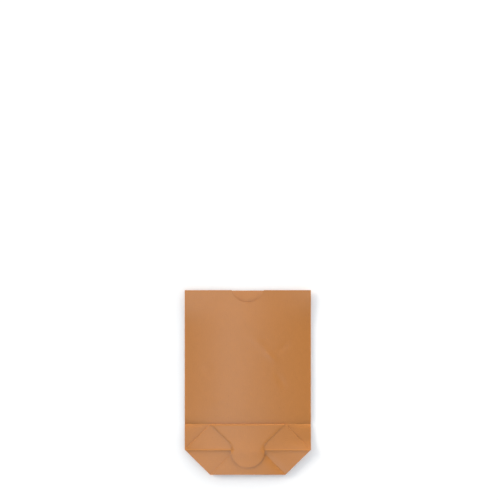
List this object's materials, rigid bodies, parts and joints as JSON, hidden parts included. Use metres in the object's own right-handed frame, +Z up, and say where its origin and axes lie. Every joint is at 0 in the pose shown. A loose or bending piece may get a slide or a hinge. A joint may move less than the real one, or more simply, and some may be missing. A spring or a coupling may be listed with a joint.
{
  "type": "flat-folded paper bag",
  "caption": "Brown kraft paper lunch bag lying folded flat, with a thumb notch at the mouth and a crossed six-sided bottom closed by a round tongue",
  "frame": {"origin": "centre of the bounding box's bottom face, on the surface that the bag lies on", "axes": "+X across the width, +Y along the length from the folded bottom to the mouth, +Z up, the side with the folded bottom and the notched ply facing up"},
  "size_m": [0.1262, 0.1845, 0.0031],
  "materials": {
    "kraft_paper": "brown machine-glazed kraft, softly satin"
  },
  "bodies": {
    "root": {"paper_bag": "kraft_paper"}
  },
  "joints": []
}
